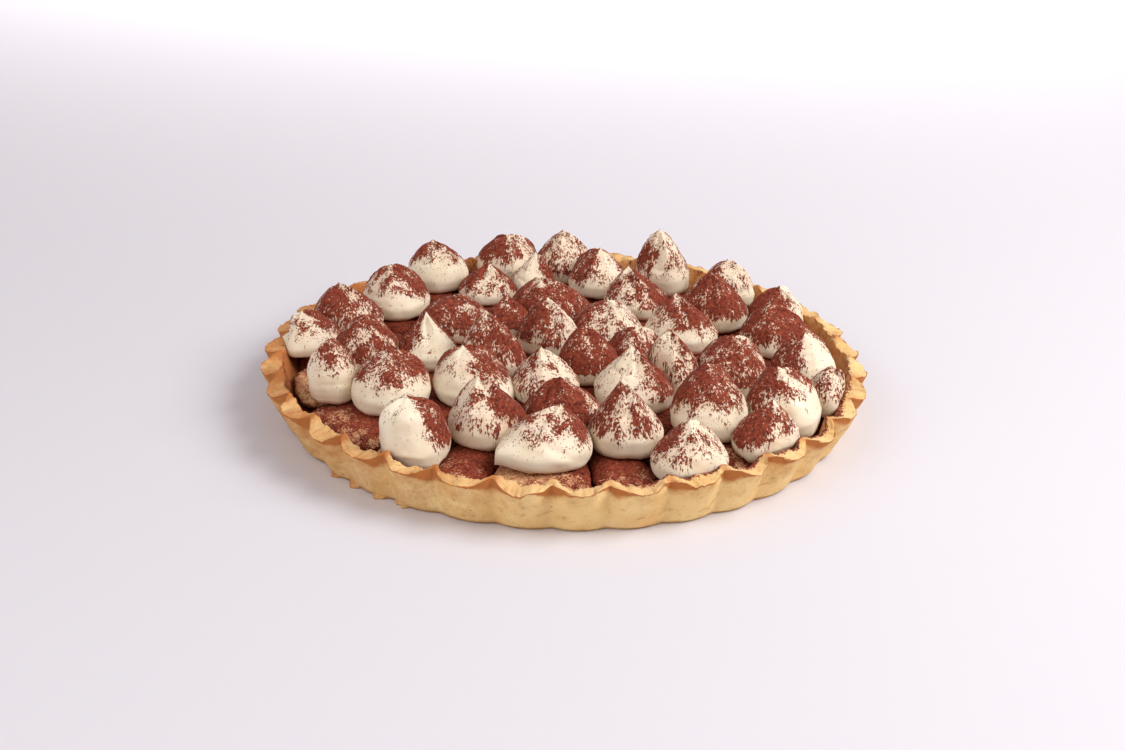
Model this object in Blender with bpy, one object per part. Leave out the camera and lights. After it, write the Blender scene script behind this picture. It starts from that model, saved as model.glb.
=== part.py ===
"""Tiramisu tart: a fluted shortcrust shell, a cream and sponge filling, and piped cream dollops.

Run with: blender --background --python part.py
Units are metres, +Z is up, and the origin is the middle of the flat underside of the shell.
"""
import bmesh
import bpy
import math
import random
from mathutils import Vector

MM = 0.001
GAP = 0.3                  # clearance between pieces that touch, mm

# Shell, in mm
RIM_RADIUS = 137.5         # out to the flutes, at the rim
FOOT_RADIUS = 127.4        # out to the flutes, at the underside
RIM_HEIGHT = 20.8          # outer edge of the rim, at the middle of a flute
CREASE_RISE = 3.6          # the rim stands this much higher at the creases
FLUTES = 35
FIRST_CREASE = -91.8       # azimuth of one crease between two flutes, degrees
FLUTE_DEPTH = 5.0          # at the rim
FOOT_FLUTE_DEPTH = 1.5
RIM_INNER_RADIUS = 130.2
RIM_INNER_HEIGHT = 22.2
FLOOR_THICKNESS = 4.0
FLOOR_RADIUS = 122.0
FLAKES = (-138.0, -132.5, -126.0, -120.5, 34.0, 141.0)    # azimuths of loose flakes at the foot
FLAKE_REACH = 3.4
FLAKE_HALF_SPAN = 2.2      # degrees
CRAG = 0.7                 # unevenness of the rim
CHIP_DEPTH = 1.6
CHIP_ODDS = 15             # one column in this many is chipped

# Filling and sponge fingers, in mm
BED_TOP = 7.5              # cream bed below the fingers
FILLING_TOP = 18.0         # level of the middle, and of the top of the fingers
CORE_RADIUS = 81.0
FINGER_COUNT = 27          # round the whole tart
FINGER_START = -178.5      # azimuth where the first one starts, degrees
FINGER_SPANS = (21.5, 25.0, 13.5, 13.5, 21.5, 14.0)    # degrees of the first ones; the rest share evenly
FINGER_NODES = 13          # this many stand free, and the rest are one with the filling
FINGER_GAP = 1.55          # between two fingers at the shell
FINGER_INNER_GAP = 0.65
FINGER_OUTER_RADIUS = 124.0
END_TUCK = 2.6             # the end draws in this much towards the underside
END_WAVE = (-1.2, 0.2)     # the ends don't quite line up
# Distance from the outer end in mm, then width and height as parts of the full ones
FINGER_SECTIONS = ((0.0, 0.30, 0.35), (2.2, 0.70, 0.64), (7.5, 0.96, 0.87), (17.0, 1.0, 0.99))
FINGER_SIDES = 8
BED_STEPS = 48
SURFACE_DIP = 0.35         # unevenness of the filling's surface

# Dollops of cream, in mm: azimuth in degrees, distance from the middle, width, height,
# lean of the tip (towards +X, towards +Y), azimuth of the crease, and form from 0 (dome) to 1 (cone)
OUTER_RING = (
    (125, 115, 31, 22.5, -3, 1, -30, 0.3),
    (106, 116, 30, 21, 0, 0, 20, 0.1),
    (91, 112, 31, 24, -1, 0, -20, 0.6),
    (63, 109, 28, 31, -3, 0, -80, 0.45),
    (45, 116, 26, 21, -1, 1, -50, 0.35),
    (27, 115, 28, 18.5, 1, 1, 40, 0.5),
    (13, 103, 35, 20, -5, 2, -10, 0.5),
    (-10, 109, 31, 24, -1, 0, 60, 0.4),
    (-20, 124, 21, 18.5, -1, 0, -20, 0.3),
    (-32, 111, 33, 25, -4, 0, 15, 0.45),
    (-45, 120, 31, 20.5, 1, 2, 60, 0.85),
    (-64, 117, 32, 21, -1, 0, 40, 0.9),
    (-121.6, 114, 28.5, 24, -4, 1, 5, 0.5),
    (-156, 110, 21.5, 25, -2, 1, 80, 0.0),
    (175, 119, 32, 16, -4, 0, 60, 0.6),
    (163, 109, 34, 22, -4, 0, -20, 0.5),
    (146, 101, 33, 22.5, -3, 2, 30, 0.5),
)
MIDDLE_RING = (
    (80, 93, 31, 22, 0, 0, 150, 0.65),
    (102, 88, 22, 21, 2, 0, -20, 0.9),
    (117, 88, 29, 17, 1, 0, 200, 0.8),
    (62, 75, 33, 22, -5, 0, -70, 0.8),
    (36, 90, 34, 25, -3, 0, -60, 0.7),
    (25, 61, 35, 24, -4, 0, -45, 0.8),
    (-20, 78, 33, 25, 0, 1, 20, 0.4),
    (-48, 92, 33, 28, -2, 3, 30, 0.45),
    (-73, 90, 31, 30, -3, 0, -40, 0.95),
    (-94, 97, 38, 22, 5, 1, 200, 0.75),
    (-90, 65, 33, 20, -2, 0, 170, 0.8),
    (-111, 86, 33, 26, -5, 1, -25, 0.6),
    (-146, 91, 34.5, 23, 0, 2, 30, 0.35),
    (-174, 91, 31, 23, -1, 0, 50, 0.5),
)
INNER_RING = (
    (98, 54, 40, 19, -5, 1, -15, 0.5),
    (128, 46, 26, 17, 0, 0, 80, 0.9),
    (149, 61, 36, 18, -1, 0, -30, 0.4),
    (-175, 63, 28, 23, -1, 1, -60, 0.9),
    (-134, 57, 35, 22, -5, 2, 25, 0.5),
    (-103, 39, 31, 22, -2, 0, 0, 1.0),
    (-54, 52, 36, 25, -2, 1, -35, 0.9),
    (-31, 55, 29, 28, -2, 0, -50, 0.6),
    (-8, 31, 27, 19, 1, 0, 20, 0.4),
    (55, 34, 35, 19, 0, 0, -60, 0.4),
    (-157, 35, 31, 28, -4, 1, -40, 0.65),
    (118, 16, 29, 25, -2, 0, -40, 0.6),
    (-56, 20, 28, 24, -3, 1, -30, 0.5),
)
CORNERS = {5: 100, 13: -70, 27: -150, 28: -5, 36: -10}    # dollop number: azimuth of a drawn-out foot
CORNER_REACH = 0.24        # of its half width
DOLLOP_SIDES = 12
DOLLOP_LEVELS = (0.0, 0.09, 0.29, 0.52, 0.73, 0.89)    # heights of the rings, as parts of the height
WIDEST_LEVEL = 0.25
FOOT_WIDTH = 0.88          # width where it rests, as a part of the full width
SAG_START = 116.5          # beyond this distance the cream sags towards the shell, mm
SAG_SLOPE = 0.27
CREASE_SIZE = 0.20         # how far the crease stands out near the tip
WALL_CLEARANCE = 2.1       # between the cream and the mean inner face of the shell, mm
NEIGHBOUR_REACH = 60.0     # dollops further apart than this don't touch, mm

RANDOM = random.Random(14)


def clear_scene():
    for thing in list(bpy.data.objects):
        bpy.data.objects.remove(thing, do_unlink=True)


def make_material(name, color, roughness):
    material = bpy.data.materials.new(name)
    material.use_nodes = True
    shader = material.node_tree.nodes["Principled BSDF"]
    shader.inputs["Base Color"].default_value = (*color, 1.0)
    shader.inputs["Roughness"].default_value = roughness
    shader.inputs["Metallic"].default_value = 0.0
    material.diffuse_color = (*color, 1.0)
    return material


def add_object(name, mesh, material):
    mesh.materials.append(material)
    mesh.shade_smooth()
    mesh.set_sharp_from_angle(angle=math.radians(50))
    thing = bpy.data.objects.new(name, mesh)
    bpy.context.scene.collection.objects.link(thing)
    return thing


def polar(azimuth, radius, z):
    """A point in metres, from an azimuth in degrees and sizes in mm."""
    turn = math.radians(azimuth)
    return Vector((radius * math.cos(turn), radius * math.sin(turn), z)) * MM


def ring_solid(name, rings):
    """One closed mesh through rings of points, bottom ring first, with a fan at each end.

    The points of a ring run anticlockwise seen from above.
    """
    mesh = bpy.data.meshes.new(name)
    shape = bmesh.new()
    rows = [[shape.verts.new(point) for point in ring] for ring in rings]
    for lower, upper in zip(rows, rows[1:]):
        count = max(len(lower), len(upper))
        for i in range(count):
            corners = [lower[i % len(lower)], lower[(i + 1) % len(lower)],
                       upper[(i + 1) % len(upper)], upper[i % len(upper)]]
            face = []
            for corner in corners:
                if corner not in face:
                    face.append(corner)
            shape.faces.new(face)
    bmesh.ops.triangulate(shape, faces=shape.faces[:])
    bmesh.ops.recalc_face_normals(shape, faces=shape.faces[:])
    shape.to_mesh(mesh)
    shape.free()
    return mesh


class Unevenness:
    """A smooth wave round the tart, made of a few random harmonics, between about -1 and 1."""

    def __init__(self, harmonics):
        self.waves = [(n, RANDOM.uniform(0, 2 * math.pi), RANDOM.uniform(0.5, 1.0)) for n in harmonics]
        self.total = sum(size for _, _, size in self.waves)

    def at(self, azimuth):
        turn = math.radians(azimuth)
        return sum(size * math.sin(n * turn + start) for n, start, size in self.waves) / self.total


def wall_radius(z):
    """Inner face of the shell at a height, in mm."""
    slope = (RIM_INNER_RADIUS - FLOOR_RADIUS) / (RIM_INNER_HEIGHT - FLOOR_THICKNESS)
    return FLOOR_RADIUS + (z - FLOOR_THICKNESS) * slope


def flute_columns():
    """Azimuth and crease weight of each column round the shell: 1 at a crease, 0 at mid flute."""
    pitch = 360.0 / FLUTES
    phases = (0.0, 0.10, 0.30, 0.50, 0.70, 0.90)
    shifts = [RANDOM.uniform(-0.5, 0.5) for _ in range(FLUTES)]
    columns = []
    for flute in range(FLUTES):
        start = FIRST_CREASE + flute * pitch + shifts[flute]
        end = FIRST_CREASE + (flute + 1) * pitch + shifts[(flute + 1) % FLUTES]
        for phase in phases:
            from_crease = min(phase, 1.0 - phase)
            columns.append((start + (end - start) * phase, (1.0 - 2.0 * from_crease) ** 2.2))
    return columns


def flake_reach(azimuth):
    """How far the nearest flake stands out at the foot, in mm."""
    nearest = min(abs((azimuth - flake + 180.0) % 360.0 - 180.0) for flake in FLAKES)
    return FLAKE_REACH * max(0.0, 1.0 - nearest / FLAKE_HALF_SPAN)


def make_shell(material):
    """Fluted shell: a flat base, a leaning wall, and an uneven rim that peaks at the creases."""
    slow = Unevenness((2, 3, 5))
    medium = Unevenness((9, 13, 17))
    thickness = Unevenness((7, 11, 19))
    rows = [[] for _ in range(9)]
    for azimuth, crease in flute_columns():
        crag = RANDOM.uniform(-CRAG, CRAG)
        chip = CHIP_DEPTH if RANDOM.randrange(CHIP_ODDS) == 0 else 0.0
        lift = 0.5 * slow.at(azimuth) + 0.6 * medium.at(azimuth)
        edge = RIM_HEIGHT + CREASE_RISE * crease ** 1.3 + lift + 0.5 * crag - chip
        inner_edge = RIM_INNER_HEIGHT + 2.4 * crease + lift - 0.5 * crag
        outer = RIM_RADIUS - FLUTE_DEPTH * crease + 0.5 * slow.at(azimuth)
        foot = FOOT_RADIUS - FOOT_FLUTE_DEPTH * crease
        inner = RIM_INNER_RADIUS - 1.3 * crease + 0.5 * thickness.at(azimuth)
        flake = flake_reach(azimuth)

        def wall(z):
            return foot + (outer - foot) * z / RIM_HEIGHT

        points = (
            (foot - 0.9 + flake, 0.0),
            (wall(1.6) + 0.9 * flake, 1.4),
            (wall(9.0), 9.0),
            (wall(17.0) + 0.3, 17.0),
            (outer - 0.5, edge),
            (0.55 * outer + 0.45 * inner, 0.5 * (edge + inner_edge) + 0.7 + 0.4 * crag),
            (inner, inner_edge),
            (wall_radius(13.0) + 0.4 * thickness.at(azimuth), 13.0),
            (FLOOR_RADIUS, FLOOR_THICKNESS),
        )
        for row, (radius, z) in zip(rows, points):
            row.append(polar(azimuth, radius, z))
    rings = [[Vector((0, 0, 0))]] + rows + [[Vector((0, 0, FLOOR_THICKNESS * MM))]]
    return add_object("crust", ring_solid("crust", rings), material)


def finger_rings(azimuth, span, bottom, wave):
    """Rings across one sponge finger, from its outer end to its inner end, in metres.

    The end at the shell is round, and the finger narrows towards the middle of the tart.
    """
    flare = 2.0 * math.tan(math.radians(0.5 * span))
    outer_width = flare * FINGER_OUTER_RADIUS - FINGER_GAP
    inner_width = flare * CORE_RADIUS - FINGER_INNER_GAP
    turn = math.radians(azimuth)
    side = Vector((math.sin(turn), -math.cos(turn), 0))
    outer = FINGER_OUTER_RADIUS + wave
    length = outer - CORE_RADIUS - GAP
    top = FILLING_TOP - 0.2
    middle = bottom + 0.42 * (top - bottom)
    first_angle = math.pi / FINGER_SIDES
    rings = []
    for distance, width, height in FINGER_SECTIONS + ((length, 1.0, 0.95),):
        share = distance / length
        half = 0.5 * (outer_width + (inner_width - outer_width) * share) * width
        depth = 1.0 if distance > 0.0 else 0.6
        points = []
        for i in range(FINGER_SIDES):
            angle = first_angle * (2 * i + 1)
            across = abs(math.cos(angle) / math.cos(first_angle)) ** 0.7
            across = math.copysign(across, math.cos(angle))
            rise = math.sin(angle) / math.cos(first_angle)
            if rise > 0.0:
                z = middle + rise * (top - middle) * height
            else:
                z = middle + rise * (middle - bottom) * depth
            tuck = END_TUCK * max(0.0, -rise) * (1.0 - share)
            points.append(polar(azimuth, outer - distance - tuck, z) + side * (half * across * MM))
        rings.append(points)
    return rings


def make_finger(name, place, bottom, wave, material):
    """Closed sponge finger lying on the cream bed, pointing at the middle."""
    rings = finger_rings(*place, bottom, wave)
    mesh = bpy.data.meshes.new(name)
    shape = bmesh.new()
    rows = [[shape.verts.new(point) for point in ring] for ring in rings]
    for first, second in zip(rows, rows[1:]):
        for i in range(len(first)):
            j = (i + 1) % len(first)
            shape.faces.new((first[i], first[j], second[j], second[i]))
    shape.faces.new(rows[0])
    shape.faces.new(rows[-1])
    bmesh.ops.triangulate(shape, faces=shape.faces[:])
    bmesh.ops.recalc_face_normals(shape, faces=shape.faces[:])
    shape.to_mesh(mesh)
    shape.free()
    return add_object(name, mesh, material)


def finger_places():
    """Azimuth of each finger's middle, and the degrees that it takes up."""
    rest = FINGER_COUNT - len(FINGER_SPANS)
    spans = list(FINGER_SPANS) + [(360.0 - sum(FINGER_SPANS)) / rest] * rest
    return [(FINGER_START + sum(spans[:index]) + 0.5 * span, span) for index, span in enumerate(spans)]


def make_filling(material, sponge):
    """Cream bed with a raised middle, and the fingers that are one with it."""
    ripple = Unevenness((3, 5, 8))
    profile = ((FLOOR_RADIUS - 1.5, FLOOR_THICKNESS + GAP), (FLOOR_RADIUS - 0.3, BED_TOP),
               (CORE_RADIUS - 0.4, BED_TOP), (CORE_RADIUS - 0.8, FILLING_TOP - 1.2),
               (CORE_RADIUS - 4.0, FILLING_TOP - 0.2))
    rings = [[Vector((0, 0, (FLOOR_THICKNESS + GAP) * MM))]]
    for radius, z in profile:
        dip = SURFACE_DIP if z > BED_TOP else 0.0
        ring = []
        for i in range(BED_STEPS):
            azimuth = 360.0 * i / BED_STEPS
            ring.append(polar(azimuth, radius, z - dip * (1.0 + ripple.at(azimuth))))
        rings.append(ring)
    rings.append([Vector((0, 0, (FILLING_TOP - 0.2) * MM))])
    filling = add_object("filling", ring_solid("filling", rings), material)
    fused = bpy.data.collections.new("fused_fingers")
    bpy.context.scene.collection.children.link(fused)
    for index, place in enumerate(finger_places()[FINGER_NODES:]):
        wave = RANDOM.uniform(*END_WAVE)
        finger = make_finger("fused_%02d" % index, place, BED_TOP - 1.5, wave, sponge)
        bpy.context.scene.collection.objects.unlink(finger)
        fused.objects.link(finger)
    join = filling.modifiers.new("join fingers", "BOOLEAN")
    join.operation = "UNION"
    join.operand_type = "COLLECTION"
    join.collection = fused
    join.solver = "EXACT"
    bpy.context.view_layer.update()
    evaluated = filling.evaluated_get(bpy.context.evaluated_depsgraph_get())
    mesh = bpy.data.meshes.new_from_object(evaluated)
    filling.modifiers.clear()
    filling.data = mesh
    for finger in list(fused.objects):
        bpy.data.objects.remove(finger, do_unlink=True)
    bpy.data.collections.remove(fused)
    return filling


def dollop_width(level, form):
    """Half width at a height, both as parts of the whole; form runs from 0 (dome) to 1 (cone)."""
    if level < WIDEST_LEVEL:
        share = 1.0 - level / WIDEST_LEVEL
        return 1.0 - (1.0 - FOOT_WIDTH) * share ** 2
    up = (level - WIDEST_LEVEL) / (1.0 - WIDEST_LEVEL)
    dome = (1.0 - up ** 2.6) ** 0.6
    cone = 1.0 - up ** 1.15
    return dome + (cone - dome) * form


def crease_factor(azimuth, crease, corner, level):
    """A ridge drawn down from the tip, with a shallow hollow on its left, and the foot's corner."""
    away = math.radians(azimuth - crease)
    ridge = max(0.0, math.cos(away)) ** 5
    hollow = max(0.0, math.cos(away - math.radians(75))) ** 3
    factor = 1.0 + level * (CREASE_SIZE * ridge - 0.6 * CREASE_SIZE * hollow)
    if corner is not None:
        facing = max(0.0, math.cos(math.radians(azimuth - corner)))
        factor += CORNER_REACH * facing ** 6 * (1.0 - level) ** 2
    return factor


def cut_planes(index, places):
    """Upright planes between a dollop and its neighbours: unit normal and distance, in mm."""
    center, radius = places[index]
    planes = []
    for other, (far, far_radius) in enumerate(places):
        between = far - center
        distance = between.length
        if other == index or distance > NEIGHBOUR_REACH:
            continue
        reach = (distance ** 2 + radius ** 2 - far_radius ** 2) / (2.0 * distance)
        planes.append((between / distance, reach - 0.5 * GAP))
    return planes


def make_dollop(name, index, places, sizes, material):
    """Piped cream: widest low down, drawn up to a leaning tip, and pressed flat by its neighbours."""
    center, radius = places[index]
    height, lean, crease, form = sizes[index]
    corner = CORNERS.get(index + 1)
    bottom = FILLING_TOP + GAP
    planes = cut_planes(index, places)
    rings = [[polar_point(center, bottom)]]
    for level in DOLLOP_LEVELS:
        z = bottom + height * level
        middle = center + lean * level ** 1.5
        ring = []
        for side in range(DOLLOP_SIDES):
            azimuth = 360.0 * side / DOLLOP_SIDES + crease
            turn = math.radians(azimuth)
            out = Vector((math.cos(turn), math.sin(turn)))
            reach = radius * dollop_width(level, form) * crease_factor(azimuth, crease, corner, level)
            for normal, limit in planes:
                slant = out.dot(normal)
                room = limit - (middle - center).dot(normal)
                if slant * reach > room:
                    reach = room / slant
            point = middle + out * reach
            beyond = min(point.length, wall_radius(bottom)) - SAG_START
            sag = SAG_SLOPE * max(0.0, beyond) * (1.0 - level)
            edge = wall_radius(min(z - sag, RIM_INNER_HEIGHT)) - WALL_CLEARANCE
            if point.length > edge:
                point = point * (edge / point.length)
            ring.append(polar_point(point, z - sag))
        rings.append(ring)
    rings.append([polar_point(center + lean, bottom + height)])
    return add_object(name, ring_solid(name, rings), material)


def polar_point(place, z):
    """A point in metres from a place on the plan and a height, both in mm."""
    return Vector((place.x, place.y, z)) * MM


def make_dollops(material):
    places = []
    sizes = []
    for row in OUTER_RING + MIDDLE_RING + INNER_RING:
        azimuth, distance, width, height, lean_x, lean_y, crease, form = row
        turn = math.radians(azimuth)
        places.append((Vector((math.cos(turn), math.sin(turn))) * distance, 0.5 * width))
        sizes.append((height, Vector((lean_x, lean_y)), crease, form))
    for index in range(len(places)):
        make_dollop("dollop_%02d" % (index + 1), index, places, sizes, material)


def main():
    clear_scene()
    pastry = make_material("baked_shortcrust", (0.66, 0.40, 0.16), 0.75)
    sponge = make_material("sponge_finger", (0.55, 0.33, 0.16), 0.85)
    cocoa_cream = make_material("cocoa_dusted_filling", (0.19, 0.05, 0.025), 0.9)
    cream = make_material("piped_cream", (0.85, 0.78, 0.66), 0.45)
    make_shell(pastry)
    make_filling(cocoa_cream, sponge)
    for index, place in enumerate(finger_places()[:FINGER_NODES]):
        wave = RANDOM.uniform(*END_WAVE)
        make_finger("finger_%02d" % (index + 1), place, BED_TOP + GAP, wave, sponge)
    make_dollops(cream)


main()
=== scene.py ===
import math
import random

import bpy
import numpy as np
from mathutils import Matrix, Vector
from mathutils.bvhtree import BVHTree


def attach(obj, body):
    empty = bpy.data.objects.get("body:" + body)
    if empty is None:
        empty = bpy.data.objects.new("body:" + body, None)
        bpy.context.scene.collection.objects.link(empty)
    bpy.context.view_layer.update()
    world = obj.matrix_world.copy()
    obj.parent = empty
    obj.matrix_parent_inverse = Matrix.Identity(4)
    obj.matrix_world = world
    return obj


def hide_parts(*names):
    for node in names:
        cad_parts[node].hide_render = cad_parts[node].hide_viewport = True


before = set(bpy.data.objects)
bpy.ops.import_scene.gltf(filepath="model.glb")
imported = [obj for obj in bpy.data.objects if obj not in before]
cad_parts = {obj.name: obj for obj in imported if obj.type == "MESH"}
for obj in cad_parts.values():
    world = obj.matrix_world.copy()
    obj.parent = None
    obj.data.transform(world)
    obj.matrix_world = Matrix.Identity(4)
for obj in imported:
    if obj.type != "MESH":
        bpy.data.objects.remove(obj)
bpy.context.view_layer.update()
mm = 0.001
chance = random.Random(21)


def linear(hexColour):
    # sRGB hex to linear RGBA
    parts = [int(hexColour[i:i + 2], 16) / 255 for i in (1, 3, 5)]
    return [c / 12.92 if c <= 0.04045 else ((c + 0.055) / 1.055) ** 2.4 for c in parts] + [1.0]


def addNode(tree, kind, settings=None, inputs=None):
    # adds one node; an input is a plain value, another node's output, or a node for its first output
    node = tree.nodes.new(kind)
    for name, value in (settings or {}).items():
        setattr(node, name, value)
    for name, value in (inputs or {}).items():
        if isinstance(value, bpy.types.Node):
            value = value.outputs[0]
        if isinstance(value, bpy.types.NodeSocket):
            tree.links.new(value, node.inputs[name])
        else:
            node.inputs[name].default_value = value
    return node


def addNoise(tree, place, length, detail=2.0, roughness=0.5):
    # noise whose waves are a length in mm apart
    return addNode(tree, "ShaderNodeTexNoise", None,
                   {"Vector": place, "Scale": 1.0 / (length * mm), "Detail": detail, "Roughness": roughness})


def blend(tree, share, under, over):
    # one colour over another, by a share
    mix = addNode(tree, "ShaderNodeMix", {"data_type": "RGBA"}, {0: share, 6: under, 7: over})
    return mix.outputs[2]


def castTree(node):
    # search tree over a CAD node, for rays
    points = [v.co.copy() for v in node.data.vertices]
    return BVHTree.FromPolygons(points, [tuple(p.vertices) for p in node.data.polygons])


def blurRound(values, steps):
    # Gaussian blur round a closed ring, along the last axis
    waves = np.fft.rfftfreq(values.shape[-1])
    keep = np.exp(-2.0 * (math.pi * waves * steps) ** 2)
    return np.fft.irfft(np.fft.rfft(values, axis=-1) * keep, n=values.shape[-1], axis=-1)


def refineRound(values, count):
    # smooth resampling of a closed ring to more columns
    return np.fft.irfft(np.fft.rfft(values, axis=-1), n=count, axis=-1) * (count / values.shape[-1])


def blurRows(values, places, widths):
    # Gaussian blur down the rows, with a width of its own at each row
    steps = (places[:, None] - places[None, :]) / widths[:, None]
    shares = np.exp(-0.5 * steps ** 2) * np.gradient(places)[None, :]
    return (shares / shares.sum(axis=1, keepdims=True)) @ values


def easeStep(low, high, x):
    t = np.clip((x - low) / (high - low), 0.0, 1.0)
    return t * t * (3.0 - 2.0 * t)


def bell(x, width):
    return np.exp(-(x / width) ** 2)


def facing(angle, target):
    # 1 where an azimuth in degrees faces the target, 0 from 90 degrees away
    return np.maximum(0.0, np.cos(np.radians(angle - target)))


def turnFrom(angle, target):
    # degrees from the target, between -180 and 180
    return (angle - target + 180.0) % 360.0 - 180.0


def turnBetween(angle, target):
    return np.abs(turnFrom(angle, target))


def ringPiece(name, first, rings, last, upward):
    # closed mesh from an end point, rings of points (row, column, xyz) and the other end point
    rows, columns = rings.shape[:2]
    points = np.concatenate(([first], rings.reshape(-1, 3), [last]))
    row = np.arange(rows - 1)[:, None] * columns + 1
    here = np.arange(columns)[None, :]
    there = (here + 1) % columns
    corners = [row + here, row + there, row + columns + there, row + columns + here]
    faces = np.stack([c.ravel() for c in corners], axis=-1).tolist()
    end = len(points) - 1
    for k in range(columns):
        k2 = (k + 1) % columns
        faces.append([0, 1 + k2, 1 + k])
        faces.append([end, end - columns + k, end - columns + k2])
    if not upward:
        faces = [face[::-1] for face in faces]
    mesh = bpy.data.meshes.new(name)
    mesh.from_pydata(points.tolist(), [], faces)
    mesh.shade_smooth()
    piece = bpy.data.objects.new(name, mesh)
    bpy.context.scene.collection.objects.link(piece)
    return piece


def vertexArrays(mesh):
    points = np.empty(len(mesh.vertices) * 3, dtype=np.float32)
    normals = np.empty(len(mesh.vertices) * 3, dtype=np.float32)
    mesh.vertices.foreach_get("co", points)
    mesh.vertex_normals.foreach_get("vector", normals)
    return points.reshape(-1, 3), normals.reshape(-1, 3)


def setWeights(piece, **weights):
    # one number a vertex, read by the relief and the materials
    for name, values in weights.items():
        layer = piece.data.attributes.new(name, "FLOAT", "POINT")
        layer.data.foreach_set("value", np.ascontiguousarray(values, dtype=np.float32))


def bakeModifiers(piece):
    # the evaluated mesh becomes the piece's own, and its modifiers go
    graph = bpy.context.evaluated_depsgraph_get()
    mesh = bpy.data.meshes.new_from_object(piece.evaluated_get(graph), depsgraph=graph)
    piece.modifiers.clear()
    piece.data = mesh
    mesh.name = piece.name
    return piece


def runTree(piece, tree, values):
    # runs a Geometry Nodes tree on a piece with its inputs set, and keeps the result as a plain mesh
    modifier = piece.modifiers.new(tree.name, "NODES")
    modifier.node_group = tree
    for item in tree.interface.items_tree:
        if item.item_type == "SOCKET" and item.in_out == "INPUT" and item.name in values:
            modifier[item.identifier] = values[item.name]
    return bakeModifiers(piece)


def newTree(name, sockets):
    tree = bpy.data.node_groups.new(name, "GeometryNodeTree")
    tree.interface.new_socket("Geometry", in_out="INPUT", socket_type="NodeSocketGeometry")
    for label, kind, value in sockets:
        socket = tree.interface.new_socket(label, in_out="INPUT", socket_type=kind)
        if value is not None:
            socket.default_value = value
    tree.interface.new_socket("Geometry", in_out="OUTPUT", socket_type="NodeSocketGeometry")
    return tree, addNode(tree, "NodeGroupInput").outputs


def roughen(piece, look, material):
    # relief of lumps, grain and cocoa, with the sizes of the piece's own dictionary
    return runTree(piece, foodRelief, {
        "Lump Size": look["lumpSize"], "Lump Depth": look["lumpDepth"],
        "Grain Size": look["grainSize"], "Grain Depth": look["grainDepth"],
        "Cocoa Depth": look["cocoaDepth"], "Material": material})


# sieved cocoa falls straight down, so its flecks are drawn out on steep cream
cocoaLook = {
    "fleckLength": 0.85,      # mm from fleck to fleck
    "patchLength": 5.0,       # mm from patch to patch
    "patchShare": 0.42,
    "streak": 0.36,           # flecks are this much denser across than down
    "range": 0.28,            # how much noise lies between bare and covered
    "softness": 0.04,
    "lit": "#98452c", "deep": "#4e1910", "haze": "#c98b74",
}


def cocoaMask(tree, place, dust):
    # 1 under cocoa and 0 on bare food, in shader and Geometry Nodes trees alike
    stretch = addNode(tree, "ShaderNodeVectorMath", {"operation": "MULTIPLY"},
                      {0: place, 1: (1.0, 1.0, cocoaLook["streak"])})
    fleck = addNoise(tree, stretch, cocoaLook["fleckLength"], 3.0, 0.65)
    patch = addNoise(tree, stretch, cocoaLook["patchLength"])
    grain = addNode(tree, "ShaderNodeMix", {"data_type": "FLOAT"},
                    {0: cocoaLook["patchShare"], 2: fleck, 3: patch})
    limit = addNode(tree, "ShaderNodeMath", {"operation": "MULTIPLY_ADD"},
                    {0: dust, 1: -cocoaLook["range"], 2: 0.5 + 0.5 * cocoaLook["range"]})
    over = addNode(tree, "ShaderNodeMath", {"operation": "SUBTRACT"}, {0: grain, 1: limit})
    edge = addNode(tree, "ShaderNodeMath", {"operation": "MULTIPLY_ADD", "use_clamp": True},
                   {0: over, 1: 1.0 / cocoaLook["softness"], 2: 0.5})
    some = addNode(tree, "ShaderNodeMath", {"operation": "MULTIPLY", "use_clamp": True}, {0: dust, 1: 8.0})
    return addNode(tree, "ShaderNodeMath", {"operation": "MULTIPLY"}, {0: edge, 1: some})


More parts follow.
